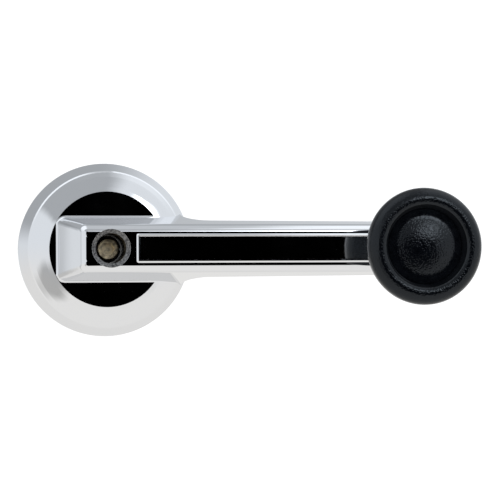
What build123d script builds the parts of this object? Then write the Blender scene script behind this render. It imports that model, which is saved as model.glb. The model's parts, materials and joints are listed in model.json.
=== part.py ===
from build123d import *
import math
import os

# Window winder handle: a plated die-cast crank with a free-turning knob.
# Origin: on the hub axis, in the plane of the door trim. +Z points away from the
# door, +X runs from the hub to the knob. Millimetres.

os.makedirs("parts", exist_ok=True)

# ---- base -----------------------------------------------------------------
base_radius = 28.7
rim_lift = 0.6  # the rim stands this far off the door trim
rim_edge = 1.7  # upright edge of the rim
rim_wall = 2.7
bevel_width = 2.75
bevel_rise = 4.9
crease_width = 0.45
crease_rise = 0.4
slope_width = 6.45
slope_rise = 2.1
slope_crown = 0.3  # how far the slope swells from a straight cone
slope_round = 22.0
base_edge_round = 0.3
rim_round = 0.6

# ---- arm ------------------------------------------------------------------
arm_length = 100.0  # hub axis to knob axis
arm_rise = 12.3  # top of the arm above the deck
arm_top_width = 12.3
shoulder_drop = 1.5  # height of the bevel beside the top flat
shoulder_width = 1.6  # width of that bevel, seen from above
shoulder_round = 3.0  # between the bevel and the wall
cove_round = 0.8  # between the arm and the deck
wall_draft = 14.0  # degrees
end_run = 8.0  # length of the sloping end, seen from above
brow_gap = 2.9  # mouth of the screw hole to the top of the sloping end
end_round = 2.6
end_hollow = 0.6  # how far the sloping end is hollowed from flat
brow_round = 2.3
arm_thickness_at_hub = 8.0
arm_thickness_at_knob = 6.4
root_inset = 3.6  # rim to where the arm leaves the base
root_round = 9.0
knob_pad_length = 12.0  # level underside around the knob spindle

# ---- raised frame on the arm ------------------------------------------------
frame_gap = 1.9  # mouth of the screw hole to the frame
frame_margin = 1.4  # frame to the edge of the top flat
frame_end_gap = 3.3  # frame to the spindle's collar
frame_bead = 1.2
frame_height = 0.68
bead_chamfer = 0.55
frame_corner = 0.7
strip_depth = 0.2

# ---- hollow underside -------------------------------------------------------
skin = 2.4
pocket_inner_wall = 2.2
pocket_outer_wall = 3.4
base_rib_count = 6
base_rib_width = 1.8
channel_gap = 5.0  # root of the arm to the first pocket
channel_end_gap = 12.5  # knob axis to the end of the last pocket
channel_wall = 2.45
channel_roof = 4.0  # below the arm's top
channel_pockets = 3
channel_rib = 2.0

# ---- drive and its screw ------------------------------------------------------
socket_radius = 4.5
insert_wall = 2.5
insert_top = 8.4
insert_web = 1.8
boss_wall = 2.2
boss_drop = 5.0  # how far the boss reaches into the door trim
spline_count = 20
spline_width = 0.3
spline_depth = 0.4
socket_chamfer = 0.5
relief_height = 0.6
relief_depth = 0.7
engaged_length = 5.3  # splined wall below the relief, with its chamfer
screw_radius = 2.5
screw_hole_clearance = 0.3
screw_tip_gap = 0.4  # above the floor of the relief
thread_depth = 0.3
thread_pitch = 0.8
screw_head_radius = 3.7
screw_head_height = 3.0
screw_head_round = 0.6
hex_across_flats = 4.0
hex_depth = 1.9
head_gap = 1.25  # between the screw's head and the wall of its hole
mouth_width = 1.35
mouth_depth = 0.8
lock_washer_margin = 0.7
lock_washer_thickness = 0.7
lock_washer_gap = 0.7

# ---- thrust washer ------------------------------------------------------------
thrust_thickness = 1.6
thrust_edge_gap = 0.5  # to the inside of the rim
thrust_face_gap = 0.1
groove_depth = 0.4
groove_height = 0.8
groove_floor = 0.4
running_clearance = 0.06
axial_clearance = 0.05

# ---- knob spindle ---------------------------------------------------------------
spindle_radius = 3.0
spindle_tip = 1.2  # beyond the clip
spindle_chamfer = 0.5
tail_radius = 2.5
collar_width = 3.2
collar_thickness = 1.0
clip_groove_depth = 0.8
clip_width = 1.9  # outside the spindle
clip_thickness = 0.7
clip_mouth_gap = 1.0  # narrower than the groove
clip_clearance = 0.05
stake_washer_width = 2.5
stake_washer_thickness = 0.8
stake_width = 1.4
stake_height = 1.0
spring_rise = 1.0
spring_thickness = 0.35
spring_inset = 0.5  # inside the collar's edge
spring_bore_clearance = 0.3
clip_washer_width = 2.8
clip_washer_thickness = 0.7

# ---- knob -----------------------------------------------------------------------
knob_radius = 19.0
shoulder_inset = 3.8  # widest point to the crest
lip_width = 1.9
lip_height = 0.9  # rounded part of the lip, below the crest
lip_flank = 0.8  # from the lip in to the floor of the dish
dish_depth = 3.0
widest_below_dish = 0.8
knob_foot_gap = 0.95  # above the arm's top, clear of the raised frame
knob_foot_wall = 3.4
neck_share = 0.32  # how far the neck has flared at half height
bush_length = 10.65
bush_wall = 1.74
bush_flange_width = 1.7
bush_flange_thickness = 0.8
foot_recess_gap = 0.7
cap_rebate = 0.3  # foot of the lip to the edge of the cap
cap_headroom = 0.6  # spindle to the inside of the cap
cap_crown = 1.3
cap_wall = 1.3
cap_edge = 0.15
cap_skirt_depth = 3.4
dome_inset = 3.8  # edge of the cap to the edge of its dome
dome_edge_rise = 0.3
dome_blend = 2.0  # hollow between the dome and the floor of the dish

# ---- worked out from the above ----------------------------------------------------
rim_top = rim_lift + rim_edge
bevel_top_radius = base_radius - bevel_width
bevel_top_height = rim_top + bevel_rise
crease_radius = bevel_top_radius - crease_width
crease_height = bevel_top_height + crease_rise
deck_radius = crease_radius - slope_width
deck_height = crease_height + slope_rise
thrust_outer_radius = base_radius - rim_wall - thrust_edge_gap
ledge_height = thrust_thickness + thrust_face_gap

insert_radius = socket_radius + insert_wall
boss_radius = insert_radius + boss_wall
thrust_inner_radius = boss_radius + running_clearance
groove_radius = boss_radius - groove_depth
pocket_inner_radius = boss_radius + pocket_inner_wall
pocket_outer_radius = base_radius - rim_wall - pocket_outer_wall
socket_roof = insert_top - insert_web
screw_hole_radius = screw_radius + screw_hole_clearance
screw_seat = insert_top + lock_washer_thickness
relief_floor = -boss_drop + engaged_length
screw_tip = relief_floor + screw_tip_gap
access_radius = screw_head_radius + head_gap
mouth_radius = access_radius + mouth_width
lock_washer_radius = screw_head_radius + lock_washer_margin

arm_top_height = deck_height + arm_rise
shoulder_height = arm_top_height - shoulder_drop
shoulder_half = arm_top_width / 2 + shoulder_width
draft_run = math.tan(math.radians(wall_draft))
block_foot = (ledge_height + rim_top) / 2
end_brow = mouth_radius + brow_gap
end_foot = end_brow + end_run
under_root = base_radius - root_inset
pad_height = arm_top_height - arm_thickness_at_knob

collar_radius = spindle_radius + collar_width
clip_groove_radius = spindle_radius - clip_groove_depth
clip_radius = spindle_radius + clip_width
clip_washer_radius = spindle_radius + clip_washer_width
bush_bore = spindle_radius + running_clearance
bush_radius = bush_bore + bush_wall
bush_flange_radius = bush_radius + bush_flange_width
foot_recess_radius = bush_flange_radius + foot_recess_gap
bush_foot = collar_thickness + spring_rise + axial_clearance
bush_top = bush_foot + bush_length
foot_recess_top = bush_foot + bush_flange_thickness
clip_washer_foot = bush_top + axial_clearance
clip_foot = clip_washer_foot + clip_washer_thickness + clip_clearance
clip_top = clip_foot + clip_thickness
spindle_height = clip_top + spindle_tip
dish_height = spindle_height + cap_headroom + cap_wall
cap_skirt_foot = dish_height - cap_skirt_depth
knob_height = dish_height + dish_depth
knob_widest_height = dish_height - widest_below_dish
knob_foot_radius = foot_recess_radius + knob_foot_wall
crest_radius = knob_radius - shoulder_inset
lip_radius = crest_radius - lip_width
dish_radius = lip_radius - lip_flank
cap_radius = dish_radius - cap_rebate

hub_section = Plane.XZ
knob_section = Plane(origin=(arm_length, 0, arm_top_height), x_dir=(1, 0, 0), z_dir=(0, -1, 0))
knob_axis = Axis((arm_length, 0, arm_top_height), (0, 0, 1))
arm_top = Plane.XY.offset(arm_top_height)
level_tolerance = 0.01  # edges this near a height count as lying at it


def ring_section(inner, outer, low, high):
    """Add a rectangular ring section between two radii and two heights."""
    with Locations(((inner + outer) / 2, (low + high) / 2)):
        Rectangle(outer - inner, high - low)


def edges_at(builder, height):
    """The edges that lie wholly at one height."""
    return builder.edges().filter_by_position(Axis.Z, height - level_tolerance, height + level_tolerance)


# ---- arm: straight drafted walls, a bevelled top, a sloping end at the hub --------
wall_spread = (shoulder_height - block_foot) * draft_run
arm_reach = arm_length + 2 * base_radius
slot_centre = arm_length - arm_reach / 2
end_slope = end_run / arm_rise
end_foot_low = end_foot + (deck_height - block_foot) * end_slope

with BuildPart() as arm_blank:
    for height, half_width in (
        (block_foot, shoulder_half + wall_spread),
        (shoulder_height, shoulder_half),
    ):
        with BuildSketch(Plane.XY.offset(height)):
            with Locations((slot_centre, 0)):
                SlotCenterToCenter(arm_reach, 2 * half_width)
    loft(ruled=True)
    for height, half_width in ((shoulder_height, shoulder_half), (arm_top_height, arm_top_width / 2)):
        with BuildSketch(Plane.XY.offset(height)):
            with Locations((slot_centre, 0)):
                SlotCenterToCenter(arm_reach, 2 * half_width)
    loft(ruled=True)
    with BuildSketch(Plane.XZ):
        with BuildLine():
            under = FilletPolyline(
                (under_root, block_foot),
                (under_root, arm_top_height - arm_thickness_at_hub),
                (arm_length - knob_pad_length, pad_height),
                radius=root_round,
            )
            Polyline(
                under @ 1,
                (arm_length + 2 * shoulder_half, pad_height),
                (arm_length + 2 * shoulder_half, arm_top_height),
                (-end_brow, arm_top_height),
            )
            end_profile = SagittaArc((-end_brow, arm_top_height), (-end_foot_low, block_foot), end_hollow)
            Line(end_profile @ 1, under @ 0)
        make_face()
    extrude(amount=base_radius, both=True, mode=Mode.INTERSECT)
    fillet(edges_at(arm_blank, shoulder_height), shoulder_round)
    sloping_end = arm_blank.faces().sort_by(Axis.X)[0]
    end_sides = sloping_end.edges().filter_by(lambda edge: abs(edge.center().Y) > arm_top_width / 4)
    fillet(end_sides, end_round)
    brow = arm_blank.edges().filter_by(Axis.Y).group_by(Axis.Z)[-1].sort_by(Axis.X)[0]
    fillet(brow, brow_round)
arm_blank.part.label = "arm_blank"

# ---- handle casting: base, hub block and arm in one piece ---------------------------
with BuildPart() as handle_casting:
    slope_middle = ((deck_radius + crease_radius) / 2, (deck_height + crease_height) / 2 + slope_crown)
    with BuildSketch(hub_section):
        with BuildLine():
            base_profile = FilletPolyline(
                (deck_radius, deck_height),
                slope_middle,
                (crease_radius, crease_height),
                (bevel_top_radius, bevel_top_height),
                (base_radius, rim_top),
                (base_radius, rim_lift),
                radius=(slope_round, base_edge_round, base_edge_round, rim_round),
            )
            Polyline(
                base_profile @ 1,
                (base_radius - rim_wall, rim_lift),
                (base_radius - rim_wall, ledge_height),
                (boss_radius, ledge_height),
                (boss_radius, -boss_drop),
                (0, -boss_drop),
                (0, deck_height),
                base_profile @ 0,
            )
        make_face()
    revolve(axis=Axis.Z)

    # ring pocket under the deck, with radial ribs left in it
    roof_height = deck_height - skin
    pocket_shoulder = deck_radius - skin / 2
    outer_roof = crease_height + (crease_radius - pocket_outer_radius) * slope_rise / slope_width - skin
    with BuildSketch(hub_section):
        with BuildLine():
            Polyline(
                (pocket_inner_radius, ledge_height),
                (pocket_outer_radius, ledge_height),
                (pocket_outer_radius, outer_roof),
                (pocket_shoulder, roof_height),
                (pocket_inner_radius, roof_height),
                close=True,
            )
        make_face()
    revolve(axis=Axis.Z, mode=Mode.SUBTRACT)
    rib_length = pocket_outer_radius - pocket_inner_radius + base_edge_round
    with BuildSketch(Plane.XY.offset(ledge_height)):
        with PolarLocations((pocket_inner_radius + pocket_outer_radius) / 2, base_rib_count):
            Rectangle(rib_length, base_rib_width)
    extrude(amount=roof_height - ledge_height)

    add(arm_blank.part)
    arm_foot = edges_at(handle_casting, deck_height).filter_by(GeomType.CIRCLE, reverse=True)
    fillet(arm_foot, cove_round)

    # raised frame and the strip inside it
    frame_start = mouth_radius + frame_gap
    frame_end = arm_length - collar_radius - frame_end_gap
    frame_width = arm_top_width - 2 * frame_margin
    strip_width = frame_width - 2 * frame_bead
    strip_length = frame_end - frame_start - 2 * frame_bead
    frame_centre = (frame_start + frame_end) / 2
    with BuildSketch(arm_top):
        with Locations((frame_centre, 0)):
            RectangleRounded(frame_end - frame_start, frame_width, frame_corner)
            Rectangle(strip_length, strip_width, mode=Mode.SUBTRACT)
    extrude(amount=frame_height)
    bead_top = handle_casting.faces().sort_by(Axis.Z)[-1]
    chamfer(bead_top.edges(), bead_chamfer)
    with BuildSketch(arm_top):
        with Locations((frame_centre, 0)):
            Rectangle(strip_length, strip_width)
    extrude(amount=-strip_depth, mode=Mode.SUBTRACT)

    # pockets under the arm, between cross ribs
    channel_start = under_root + root_round + channel_gap
    channel_end = arm_length - channel_end_gap
    channel_width = 2 * (shoulder_half - channel_wall)
    pocket_pitch = (channel_end - channel_start + channel_rib) / channel_pockets
    with BuildSketch(Plane.XY.offset(arm_top_height - channel_roof)):
        with Locations(((channel_start + channel_end) / 2, 0)):
            with GridLocations(pocket_pitch, 1, channel_pockets, 1):
                RectangleRounded(pocket_pitch - channel_rib, channel_width, channel_rib)
    extrude(amount=-arm_thickness_at_hub, mode=Mode.SUBTRACT)

    # access hole for the screw, with a cast funnel at its mouth, and the insert's seat
    with BuildSketch(hub_section):
        with BuildLine():
            Polyline(
                (0, insert_top),
                (access_radius, insert_top),
                (access_radius, arm_top_height - mouth_depth),
                (mouth_radius, arm_top_height),
                (0, arm_top_height),
                close=True,
            )
        make_face()
        ring_section(0, insert_radius, -boss_drop, insert_top)
    revolve(axis=Axis.Z, mode=Mode.SUBTRACT)

    # groove that holds the thrust washer's lip
    with BuildSketch(hub_section):
        ring_section(groove_radius, boss_radius, groove_floor, groove_floor + groove_height)
    revolve(axis=Axis.Z, mode=Mode.SUBTRACT)

    # hole for the knob spindle's tail
    with BuildSketch(arm_top):
        with Locations((arm_length, 0)):
            Circle(tail_radius)
    extrude(amount=-arm_thickness_at_knob, mode=Mode.SUBTRACT)
handle_casting.part.label = "handle_casting"
export_step(handle_casting.part, "parts/handle_casting.step")

# ---- splined drive insert -------------------------------------------------------------
with BuildPart() as drive_insert:
    with BuildSketch(hub_section):
        ring_section(screw_hole_radius, insert_radius, -boss_drop, insert_top)
    revolve(axis=Axis.Z)
    with BuildSketch(hub_section):
        with BuildLine():
            Polyline(
                (0, -boss_drop),
                (socket_radius + socket_chamfer, -boss_drop),
                (socket_radius, -boss_drop + socket_chamfer),
                (socket_radius, socket_roof),
                (0, socket_roof),
                close=True,
            )
        make_face()
    revolve(axis=Axis.Z, mode=Mode.SUBTRACT)
    with BuildSketch(Plane.XY.offset(-boss_drop)):
        with PolarLocations(socket_radius, spline_count):
            Rectangle(2 * spline_depth, spline_width)
    extrude(amount=boss_drop + socket_roof, mode=Mode.SUBTRACT)
    with BuildSketch(hub_section):
        relief_radius = socket_radius + relief_depth
        ring_section(0, relief_radius, relief_floor, relief_floor + relief_height)
    revolve(axis=Axis.Z, mode=Mode.SUBTRACT)
drive_insert.part.label = "drive_insert"
export_step(drive_insert.part, "parts/drive_insert.step")

# ---- retaining screw and its lock washer --------------------------------------------------
with BuildPart() as retaining_screw:
    head_top = screw_seat + screw_head_height
    thread_root = screw_radius - thread_depth
    thread_turns = int((socket_roof - screw_tip) / thread_pitch)
    with BuildSketch(hub_section):
        with BuildLine():
            points = [(0, screw_tip)]
            for turn in range(thread_turns):
                foot = screw_tip + turn * thread_pitch
                points.append((thread_root, foot))
                points.append((screw_radius, foot + thread_pitch / 2))
            points.append((thread_root, foot + thread_pitch))
            points.append((thread_root, screw_seat))
            points.append((screw_head_radius, screw_seat))
            points.append((screw_head_radius, head_top))
            points.append((0, head_top))
            Polyline(*points, close=True)
        make_face()
    revolve(axis=Axis.Z)
    head_rim = retaining_screw.edges().filter_by(GeomType.CIRCLE).sort_by(Axis.Z)[-1]
    fillet(head_rim, screw_head_round)
    with BuildSketch(Plane.XY.offset(head_top)):
        RegularPolygon(hex_across_flats / 2, 6, major_radius=False)
    extrude(amount=-hex_depth, mode=Mode.SUBTRACT)
retaining_screw.part.label = "retaining_screw"
export_step(retaining_screw.part, "parts/retaining_screw.step")

with BuildPart() as lock_washer:
    with BuildSketch(Plane.XY.offset(insert_top)):
        Circle(lock_washer_radius)
        Circle(screw_hole_radius, mode=Mode.SUBTRACT)
        with Locations((lock_washer_radius, 0)):
            Rectangle(2 * (lock_washer_radius - screw_radius), lock_washer_gap, mode=Mode.SUBTRACT)
    extrude(amount=lock_washer_thickness)
lock_washer.part.label = "lock_washer"
export_step(lock_washer.part, "parts/lock_washer.step")

# ---- thrust washer: stays on the door while the handle turns -------------------------------
with BuildPart() as thrust_washer:
    washer_lip_floor = groove_floor + axial_clearance
    washer_lip_height = groove_height - 2 * axial_clearance
    with BuildSketch(hub_section):
        ring_section(thrust_inner_radius, thrust_outer_radius, 0, thrust_thickness)
        ring_section(
            groove_radius + running_clearance,
            thrust_inner_radius,
            washer_lip_floor,
            washer_lip_floor + washer_lip_height,
        )
    revolve(axis=Axis.Z)
thrust_washer.part.label = "thrust_washer"
export_step(thrust_washer.part, "parts/thrust_washer.step")

# ---- knob spindle, staked through the arm over a washer -------------------------------------
stake_top = -arm_thickness_at_knob - stake_washer_thickness
stake_radius = tail_radius + stake_width

with BuildPart() as knob_spindle:
    with BuildSketch(knob_section):
        with BuildLine():
            Polyline(
                (0, stake_top - stake_height),
                (stake_radius - stake_height / 2, stake_top - stake_height),
                (stake_radius, stake_top),
                (tail_radius, stake_top),
                (tail_radius, 0),
                (collar_radius, 0),
                (collar_radius, collar_thickness),
                (spindle_radius, collar_thickness),
                (spindle_radius, clip_foot - clip_clearance),
                (clip_groove_radius, clip_foot - clip_clearance),
                (clip_groove_radius, clip_top + clip_clearance),
                (spindle_radius, clip_top + clip_clearance),
                (spindle_radius, spindle_height - spindle_chamfer),
                (spindle_radius - spindle_chamfer, spindle_height),
                (0, spindle_height),
                close=True,
            )
        make_face()
    revolve(axis=knob_axis)
knob_spindle.part.label = "knob_spindle"
export_step(knob_spindle.part, "parts/knob_spindle.step")

with BuildPart() as stake_washer:
    with BuildSketch(arm_top.offset(stake_top)):
        with Locations((arm_length, 0)):
            Circle(tail_radius + stake_washer_width)
            Circle(tail_radius, mode=Mode.SUBTRACT)
    extrude(amount=stake_washer_thickness)
stake_washer.part.label = "stake_washer"
export_step(stake_washer.part, "parts/stake_washer.step")

with BuildPart() as spring_washer:
    spring_bore = spindle_radius + spring_bore_clearance
    spring_outer_radius = collar_radius - spring_inset
    with BuildSketch(knob_section):
        with BuildLine():
            Polyline(
                (spring_outer_radius, collar_thickness),
                (spring_outer_radius, collar_thickness + spring_thickness),
                (spring_bore, collar_thickness + spring_rise),
                (spring_bore, collar_thickness + spring_rise - spring_thickness),
                close=True,
            )
        make_face()
    revolve(axis=knob_axis)
spring_washer.part.label = "spring_washer"
export_step(spring_washer.part, "parts/spring_washer.step")

with BuildPart() as clip_washer:
    with BuildSketch(arm_top.offset(clip_washer_foot)):
        with Locations((arm_length, 0)):
            Circle(clip_washer_radius)
            Circle(bush_bore, mode=Mode.SUBTRACT)
    extrude(amount=clip_washer_thickness)
clip_washer.part.label = "clip_washer"
export_step(clip_washer.part, "parts/clip_washer.step")

with BuildPart() as retaining_clip:
    clip_mouth = 2 * clip_groove_radius - clip_mouth_gap
    with BuildSketch(arm_top.offset(clip_foot)):
        with Locations((arm_length, 0)):
            Circle(clip_radius)
            Circle(clip_groove_radius + clip_clearance, mode=Mode.SUBTRACT)
        with Locations((arm_length + clip_radius, 0)):
            Rectangle(2 * (clip_radius - clip_groove_radius / 2), clip_mouth, mode=Mode.SUBTRACT)
    extrude(amount=clip_thickness)
retaining_clip.part.label = "retaining_clip"
export_step(retaining_clip.part, "parts/retaining_clip.step")

# ---- knob: bush, moulded body and snap-in face cap ---------------------------------------------
with BuildPart() as knob_bush:
    with BuildSketch(knob_section):
        ring_section(bush_bore, bush_radius, bush_foot, bush_top)
        ring_section(bush_bore, bush_flange_radius, bush_foot, bush_foot + bush_flange_thickness)
    revolve(axis=knob_axis)
knob_bush.part.label = "knob_bush"
export_step(knob_bush.part, "parts/knob_bush.step")

with BuildPart() as knob_body:
    lip_foot = knob_height - lip_height
    neck_radius = knob_foot_radius + (knob_radius - knob_foot_radius) * neck_share
    with BuildSketch(knob_section):
        with BuildLine():
            neck = Spline(
                (knob_foot_radius, knob_foot_gap),
                (neck_radius, knob_widest_height / 2),
                (knob_radius, knob_widest_height),
                tangents=((0, 1), (0, 1)),
            )
            shoulder = EllipticalCenterArc(
                center=(crest_radius, knob_widest_height),
                x_radius=shoulder_inset,
                y_radius=knob_height - knob_widest_height,
                start_angle=0,
                arc_size=90,
            )
            lip = EllipticalCenterArc(
                center=(crest_radius, lip_foot),
                x_radius=lip_width,
                y_radius=lip_height,
                start_angle=90,
                arc_size=90,
            )
            Polyline(
                lip @ 1,
                (dish_radius, dish_height),
                (cap_radius, dish_height),
                (cap_radius, bush_top),
                (bush_radius, bush_top),
                (bush_radius, foot_recess_top),
                (foot_recess_radius, foot_recess_top),
                (foot_recess_radius, knob_foot_gap),
                neck @ 0,
            )
        make_face()
    revolve(axis=knob_axis)
knob_body.part.label = "knob_body"
export_step(knob_body.part, "parts/knob_body.step")

with BuildPart() as knob_cap:
    dome_radius = cap_radius - dome_inset
    with BuildSketch(knob_section):
        with BuildLine():
            dome = TangentArc(
                (0, dish_height + cap_crown),
                (dome_radius, dish_height + dome_edge_rise),
                tangent=(1, 0),
            )
            hollow = Spline(
                dome @ 1,
                (dome_radius + dome_blend, dish_height),
                tangents=(dome % 1, (1, 0)),
            )
            Polyline(
                hollow @ 1,
                (cap_radius - cap_edge, dish_height),
                (cap_radius, dish_height - cap_edge),
                (cap_radius, cap_skirt_foot),
                (cap_radius - cap_wall, cap_skirt_foot),
                (cap_radius - cap_wall, dish_height - cap_wall),
                (0, dish_height - cap_wall + cap_crown / 2),
                dome @ 0,
            )
        make_face()
    revolve(axis=knob_axis)
knob_cap.part.label = "knob_cap"
export_step(knob_cap.part, "parts/knob_cap.step")
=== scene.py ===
import json
import math

import bpy
from mathutils import Matrix, Vector


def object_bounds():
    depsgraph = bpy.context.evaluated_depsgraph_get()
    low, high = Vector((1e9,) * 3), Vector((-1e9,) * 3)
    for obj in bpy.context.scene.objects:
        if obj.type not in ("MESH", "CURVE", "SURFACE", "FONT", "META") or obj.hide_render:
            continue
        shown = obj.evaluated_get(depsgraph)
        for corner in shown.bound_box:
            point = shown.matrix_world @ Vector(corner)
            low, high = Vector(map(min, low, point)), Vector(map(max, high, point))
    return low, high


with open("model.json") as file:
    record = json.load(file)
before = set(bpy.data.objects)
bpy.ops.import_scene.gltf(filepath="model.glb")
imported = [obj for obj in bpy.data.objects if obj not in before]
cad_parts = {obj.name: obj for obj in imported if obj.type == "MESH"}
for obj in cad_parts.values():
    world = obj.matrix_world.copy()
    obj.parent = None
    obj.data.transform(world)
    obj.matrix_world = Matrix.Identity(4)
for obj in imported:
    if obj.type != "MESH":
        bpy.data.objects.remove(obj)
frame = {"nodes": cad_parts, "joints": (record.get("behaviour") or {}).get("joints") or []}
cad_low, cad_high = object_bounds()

MM = 0.001

joints = {joint["name"]: joint for joint in frame["joints"]}
knob_centre = Vector(joints["knob_spin"]["pos_m"])
hub_centre = Vector(joints["crank_turn"]["pos_m"])
arm_top = knob_centre.z


# ---- node helpers -----------------------------------------------------------------
class Nodes:
    """The node tree of a material or a world, with one short call for each kind of node."""

    def __init__(self, owner, coordinate="Object"):
        owner.use_nodes = True
        self.owner = owner
        self.tree = owner.node_tree
        self.place = self.tree.nodes.new("ShaderNodeTexCoord").outputs[coordinate]

    def link(self, source, socket):
        self.tree.links.new(source, socket)

    def feed(self, node, socket, value):
        if isinstance(value, bpy.types.NodeSocket):
            self.link(value, node.inputs[socket])
        else:
            node.inputs[socket].default_value = value

    def math(self, operation, first, second=0.0, third=0.0, clamp=False):
        node = self.tree.nodes.new("ShaderNodeMath")
        node.operation = operation
        node.use_clamp = clamp
        for index, value in enumerate((first, second, third)):
            self.feed(node, index, value)
        return node.outputs[0]

    def vector(self, operation, first, second=(0, 0, 0)):
        node = self.tree.nodes.new("ShaderNodeVectorMath")
        node.operation = operation
        self.feed(node, 0, first)
        self.feed(node, 1, second)
        return node.outputs["Value" if operation in ("LENGTH", "DOT_PRODUCT") else "Vector"]

    def step(self, value, low, high, start=0.0, end=1.0):
        """Runs smoothly from start to end as value goes from low to high."""
        node = self.tree.nodes.new("ShaderNodeMapRange")
        node.interpolation_type = "SMOOTHSTEP"
        for socket, number in enumerate((value, low, high, start, end)):
            self.feed(node, socket, number)
        return node.outputs[0]

    def noise(self, scale, detail=2.0, roughness=0.5):
        node = self.tree.nodes.new("ShaderNodeTexNoise")
        self.link(self.place, node.inputs["Vector"])
        node.inputs["Scale"].default_value = scale
        node.inputs["Detail"].default_value = detail
        node.inputs["Roughness"].default_value = roughness
        return node.outputs[0]

    def cells(self, scale, smoothness):
        node = self.tree.nodes.new("ShaderNodeTexVoronoi")
        node.feature = "SMOOTH_F1"
        self.link(self.place, node.inputs["Vector"])
        node.inputs["Scale"].default_value = scale
        node.inputs["Smoothness"].default_value = smoothness
        return node.outputs["Distance"]

    def mix(self, factor, first, second):
        node = self.tree.nodes.new("ShaderNodeMix")
        node.data_type = "RGBA"
        self.feed(node, "Factor", factor)
        self.feed(node, "A", first)
        self.feed(node, "B", second)
        return node.outputs["Result"]

    def bump(self, height, strength, distance, below=None):
        node = self.tree.nodes.new("ShaderNodeBump")
        self.feed(node, "Height", height)
        self.feed(node, "Strength", strength)
        node.inputs["Distance"].default_value = distance
        if below is not None:
            self.link(below, node.inputs["Normal"])
        return node.outputs["Normal"]

    def set(self, **sockets):
        for name, value in sockets.items():
            self.feed(self.tree.nodes["Principled BSDF"], name.replace("_", " "), value)

    def radius_from(self, centre):
        """Distance from the upright axis through centre."""
        flat = self.vector("MULTIPLY", self.vector("SUBTRACT", self.place, tuple(centre)), (1, 1, 0))
        return self.vector("LENGTH", flat)

    def height(self):
        return self.vector("DOT_PRODUCT", self.place, (0, 0, 1))


def chrome_plate():
    """Bright plate over a buffed casting, left rough in the screw hole, with painted shade darkening
    it to near black in its depth.
    """
    mouth_edge = 6.32 * MM
    mouth_blend = 0.1 * MM
    cast_foot = 8.0 * MM
    cast_blend = 0.4 * MM
    # painted shade: below this height in the screw hole the colour fades to near black, standing in
    # for the shade deep in the hole
    shade_top = arm_top - 0.9 * MM
    shade_blend = 0.7 * MM
    plate = (0.70, 0.71, 0.73, 1)
    rim_dark = (0.05, 0.05, 0.053, 1)
    rim_light = (0.24, 0.24, 0.24, 1)
    painted_hole_shade = (0.006, 0.006, 0.005, 1)
    wave_height = 0.4 * MM
    grain_height = 0.16 * MM
    m = Nodes(bpy.data.materials.new("chrome_plate"))
    hub_radius = m.radius_from(hub_centre)
    in_hole = m.step(hub_radius, mouth_edge, mouth_edge - mouth_blend)
    cast = m.math("MULTIPLY", in_hole, m.step(m.height(), cast_foot, cast_foot + cast_blend))
    # painted shade mask: the rough cast part of the hole that lies deep below the arm top
    painted_shade_mask = m.math("MULTIPLY", cast, m.step(m.height(), shade_top, shade_top - shade_blend))
    grain = m.noise(1500, 3, 0.65)
    smudge = m.noise(60, 4, 0.6)
    polish = m.step(smudge, 0.35, 0.75, 0.03, 0.07)
    rough = m.step(grain, 0.3, 0.7, 0.26, 0.5)
    rim = m.mix(m.step(grain, 0.35, 0.7), rim_dark, rim_light)
    cast_and_shade = m.mix(painted_shade_mask, rim, painted_hole_shade)
    m.set(
        Metallic=1.0,
        Base_Color=m.mix(cast, plate, cast_and_shade),
        Roughness=m.math(
            "ADD",
            m.math("MULTIPLY", cast, rough),
            m.math("MULTIPLY", m.math("SUBTRACT", 1, cast), polish),
        ),
    )
    wave = m.bump(m.noise(90, 1), 0.05, wave_height)
    m.set(Normal=m.bump(grain, m.math("MULTIPLY", cast, 0.9), grain_height, wave))
    return m.owner


def pebbled_plastic(name, smooth_inner, smooth_outer):
    """Black moulded plastic with a pebble grain, smooth between the two radii."""
    inner_blend = 1.0 * MM
    outer_blend = 0.4 * MM
    grain_height = 0.032 * MM
    black = (0.0010, 0.0014, 0.0024, 1)
    worn_black = (0.0024, 0.0030, 0.0044, 1)
    m = Nodes(bpy.data.materials.new(name))
    radius = m.radius_from(knob_centre)
    pebble = m.step(m.cells(1500, 0.25), 0.15, 0.65)
    fine = m.noise(2600, 2, 0.6)
    grain = m.math("ADD", pebble, m.math("MULTIPLY", fine, 0.5))
    inside = m.step(radius, smooth_inner, smooth_inner + inner_blend)
    outside = m.step(radius, smooth_outer, smooth_outer + outer_blend)
    grained = m.math("SUBTRACT", 1, m.math("SUBTRACT", inside, outside), clamp=True)
    m.set(
        Base_Color=m.mix(m.step(m.noise(300, 3), 0.3, 0.7), black, worn_black),
        Roughness=m.step(m.noise(900, 3), 0.3, 0.7, 0.11, 0.17),
        Specular_IOR_Level=0.3,
        Specular_Tint=(0.84, 0.92, 1.0, 1),
        Normal=m.bump(grain, m.math("MULTIPLY", grained, 0.9), grain_height),
    )
    return m.owner


def steel(name, colour, roughness, dull=0.7):
    """Turned and plated steel with fine tool marks, clouded by duller patches."""
    m = Nodes(bpy.data.materials.new(name))
    marks = m.noise(900, 4, 0.7)
    mark_height = 0.05 * MM
    clouded = tuple(c * dull for c in colour[:3]) + (1,)
    m.set(
        Metallic=1.0,
        Base_Color=m.mix(m.step(m.noise(420, 3), 0.35, 0.65), colour, clouded),
        Roughness=m.step(marks, 0.3, 0.7, roughness, roughness + 0.15),
        Normal=m.bump(marks, 0.25, mark_height),
    )
    return m.owner


def satin_plastic(name, colour):
    """Plain natural plastic with a moulded satin skin."""
    m = Nodes(bpy.data.materials.new(name))
    skin_height = 0.05 * MM
    shaded = tuple(c * 0.88 for c in colour[:3]) + (1,)
    m.set(
        Base_Color=m.mix(m.noise(120, 3), colour, shaded),
        Roughness=m.step(m.noise(1500, 3), 0.3, 0.7, 0.42, 0.55),
        Normal=m.bump(m.noise(2200, 2), 0.2, skin_height),
        Subsurface_Weight=0.05,
    )
    return m.owner


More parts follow.
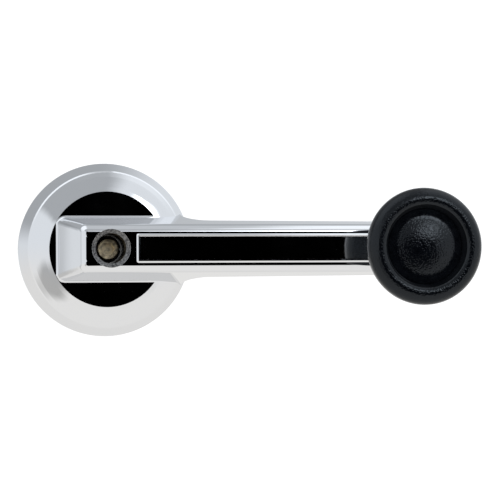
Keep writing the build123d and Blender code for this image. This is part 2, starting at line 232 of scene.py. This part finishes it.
# the knob's dish is smooth between these two radii
moat_inner = 9.2 * MM
moat_outer = 13.3 * MM
bright = steel("bright_steel", (0.62, 0.62, 0.60, 1), 0.22)
dark = steel("spring_steel", (0.16, 0.16, 0.17, 1), 0.35)
finishes = {
    "handle_casting": chrome_plate(),
    "drive_insert": bright,
    "knob_spindle": bright,
    "stake_washer": bright,
    "clip_washer": bright,
    # painted shade: the lock washer at the bottom of the screw hole gets a near-black steel that
    # stands in for the shade there
    "lock_washer": steel("shade_dark_steel", (0.03, 0.03, 0.032, 1), 0.4),
    "spring_washer": dark,
    "retaining_clip": dark,
    "retaining_screw": steel("yellow_zinc", (0.95, 0.80, 0.55, 1), 0.3, 0.4),
    "thrust_washer": satin_plastic("nylon", (0.75, 0.74, 0.70, 1)),
    "knob_bush": satin_plastic("acetal", (0.85, 0.84, 0.80, 1)),
    "knob_body": pebbled_plastic("knob_plastic", moat_inner, moat_outer),
    "knob_cap": pebbled_plastic("cap_plastic", moat_inner, moat_outer),
}
for node, finish in finishes.items():
    for slot in frame["nodes"][node].material_slots:
        slot.material = finish


# ---- camera: above the handle, leaning towards the hub end -------------------------
view_lean = math.radians(-10.18)
view_rise = math.radians(1.48)
view_roll = math.radians(-0.39)
view_distance = 0.7
view_lens = 151.9
sensor = 36.0
aim = Vector((0.0473, -0.0004, 0.012))
turn = (
    Matrix.Rotation(view_lean, 4, "Y")
    @ Matrix.Rotation(view_rise, 4, "X")
    @ Matrix.Rotation(view_roll, 4, "Z")
)
camera_data = bpy.data.cameras.new("camera")
camera_data.lens = view_lens
camera_data.sensor_width = sensor
camera_data.clip_start = 0.01
camera_data.clip_end = 20.0
camera = bpy.data.objects.new("camera", camera_data)
camera.matrix_world = Matrix.Translation(aim + turn.to_3x3() @ Vector((0, 0, view_distance))) @ turn
bpy.context.scene.collection.objects.link(camera)
bpy.context.scene.camera = camera


# ---- stage: pale floor and a soft white surround with a dark patch overhead ----------
def floor():
    half = 6.0
    glow = 0.82
    mesh = bpy.data.meshes.new("floor")
    z = cad_low.z
    mesh.from_pydata(
        [(-half, -half, z), (half, -half, z), (half, half, z), (-half, half, z)], [], [(0, 1, 2, 3)]
    )
    piece = bpy.data.objects.new("floor", mesh)
    piece.visible_glossy = False
    bpy.context.scene.collection.objects.link(piece)
    m = Nodes(bpy.data.materials.new("floor"))
    m.set(
        Base_Color=m.mix(m.noise(3), (0.34, 0.34, 0.34, 1), (0.36, 0.36, 0.36, 1)),
        Roughness=0.9,
        Specular_IOR_Level=0.0,
        Emission_Color=(1, 1, 1, 1),
        Emission_Strength=glow,
    )
    mesh.materials.append(m.owner)


floor()


def surround():
    """World light by direction, as a light tent gives it: white, with a grey wall behind, grey
    folds to the west, a lamp to the north-east and a dark opening where the top flats look."""
    sky_light = 1.04
    low_loss = 0.06
    band_gain = 0.35
    lamp_gain = 4.0
    cool_white = (0.93, 0.965, 1.0, 1)
    ivory_white = (1.0, 0.985, 0.955, 1)
    world = bpy.data.worlds.new("surround")
    bpy.context.scene.world = world
    m = Nodes(world, "Generated")
    east = m.vector("DOT_PRODUCT", m.place, (1, 0, 0))
    north = m.vector("DOT_PRODUCT", m.place, (0, 1, 0))
    up = m.height()
    bearing = m.math("ARCTAN2", north, east)

    def span(rise_from, rise_to, fall_from, fall_to):
        """1 between two bearings, in degrees, with soft sides."""
        rise = m.step(bearing, math.radians(rise_from), math.radians(rise_to))
        fall = m.step(bearing, math.radians(fall_from), math.radians(fall_to), 1.0, 0.0)
        return m.math("MULTIPLY", rise, fall)

    def patch(east_at, north_at, half_width, half_depth, soft):
        """1 inside an oval of the upper sky, 0 outside; soft is a share of its size."""
        across = m.vector("SUBTRACT", m.place, (east_at, north_at, 0))
        away = m.vector("LENGTH", m.vector("MULTIPLY", across, (1 / half_width, 1 / half_depth, 0)))
        inside = m.step(away, 1 - soft, 1 + soft, 1.0, 0.0)
        return m.math("MULTIPLY", inside, m.step(up, 0.0, 0.2))

    def product(*factors):
        total = factors[0]
        for factor in factors[1:]:
            total = m.math("MULTIPLY", total, factor)
        return total

    def without(amount, share):
        return m.math("SUBTRACT", 1, m.math("MULTIPLY", amount, share))

    high = m.step(up, 0.5, 0.7)
    low = m.step(up, -0.35, -0.1, 1.0, 0.0)
    middle = m.math("SUBTRACT", m.math("SUBTRACT", 1, high), low)
    grey_high = product(high, span(62, 80, 137, 146))
    grey_middle = product(middle, span(77.5, 80.5, 88, 104))
    grey_low = product(low, span(40, 88, 154, 176))
    grey = m.math("ADD", m.math("ADD", grey_high, grey_middle), grey_low)
    fold = patch(-0.40, -0.27, 0.18, 0.18, 0.35)
    opening = patch(0.115, -0.04, 0.355, 0.25, 0.06)
    shade = product(patch(0.115, -0.10, 0.38, 0.29, 0.08), m.step(north, -0.2, -0.24))
    gloom = patch(0.13, -0.06, 0.38, 0.28, 0.12)
    lamp = patch(0.31, 0.31, 0.17, 0.1, 0.4)
    band = product(middle, m.step(north, 0.3, 0.7))
    west = product(m.step(up, -0.12, -0.22), m.step(up, -0.42, -0.28), m.step(east, -0.6, -0.8))
    light = m.math("MULTIPLY_ADD", low, -low_loss, sky_light)
    light = m.math("MULTIPLY_ADD", lamp, lamp_gain, light)
    light = m.math("MULTIPLY_ADD", band, band_gain, light)
    shares = ((grey, 0.46), (fold, 0.45), (west, 0.3), (gloom, 0.92), (shade, 0.8), (opening, 1.0))
    for amount, share in shares:
        light = m.math("MULTIPLY", light, without(amount, share))
    background = m.tree.nodes["Background"]
    m.link(light, background.inputs["Strength"])
    cool = m.step(north, -0.35, 0.15)
    m.link(m.mix(cool, ivory_white, cool_white), background.inputs["Color"])


surround()
view_settings = bpy.context.scene.view_settings
view_settings.view_transform = "Standard"
